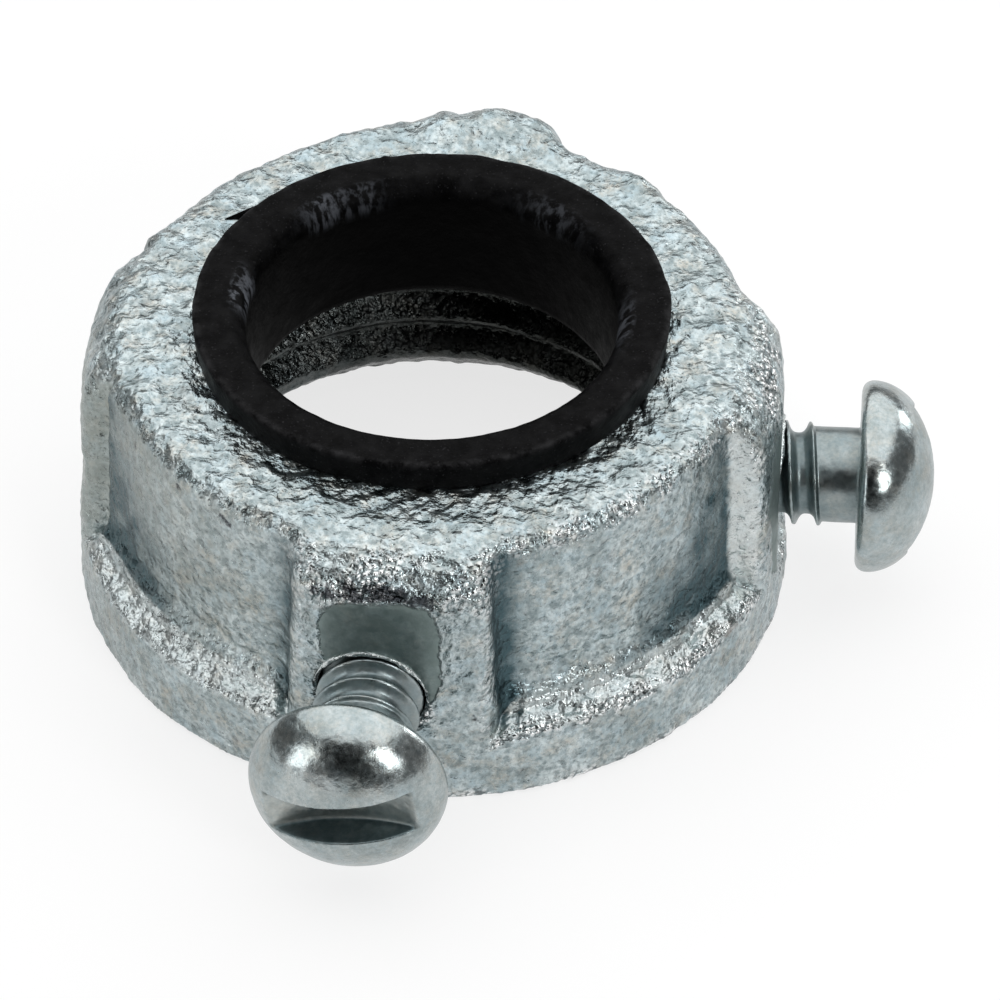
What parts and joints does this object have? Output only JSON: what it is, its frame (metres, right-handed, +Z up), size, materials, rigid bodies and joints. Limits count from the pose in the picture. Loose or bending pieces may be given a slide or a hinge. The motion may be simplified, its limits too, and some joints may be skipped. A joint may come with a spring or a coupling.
{
  "type": "conduit bushing",
  "caption": "Insulated bonding bushing for rigid conduit: a round casting with boss ribs, a tapped bore, a plastic throat and slotted radial screws.",
  "frame": {"origin": "on the bore's axis, in the plane of the base, at the middle of the conduit's entry", "axes": "+Z up the bore from the base to the plastic throat; the bonding screw points near +X and the set screw near -Y"},
  "size_m": [0.0345, 0.0354, 0.0132],
  "materials": {
    "casting": "zinc plated, as cast",
    "throat": "moulded, matt",
    "screws": "zinc plated"
  },
  "bodies": {
    "bushing": {"bushing_body": "casting", "insulating_throat": "throat"},
    "set_screw": {"set_screw": "screws"},
    "bonding_screw": {"bonding_screw": "screws"}
  },
  "joints": [
    {"name": "set_screw_travel", "type": "slide", "parent": "bushing", "child": "set_screw", "axis": [-0.0523, -0.9986, 0], "range_m": [-0.00405, 0.0014]},
    {"name": "bonding_screw_travel", "type": "slide", "parent": "bushing", "child": "bonding_screw", "axis": [0.999, 0.0436, 0], "range_m": [-0.00307, 0.0024]}
  ]
}
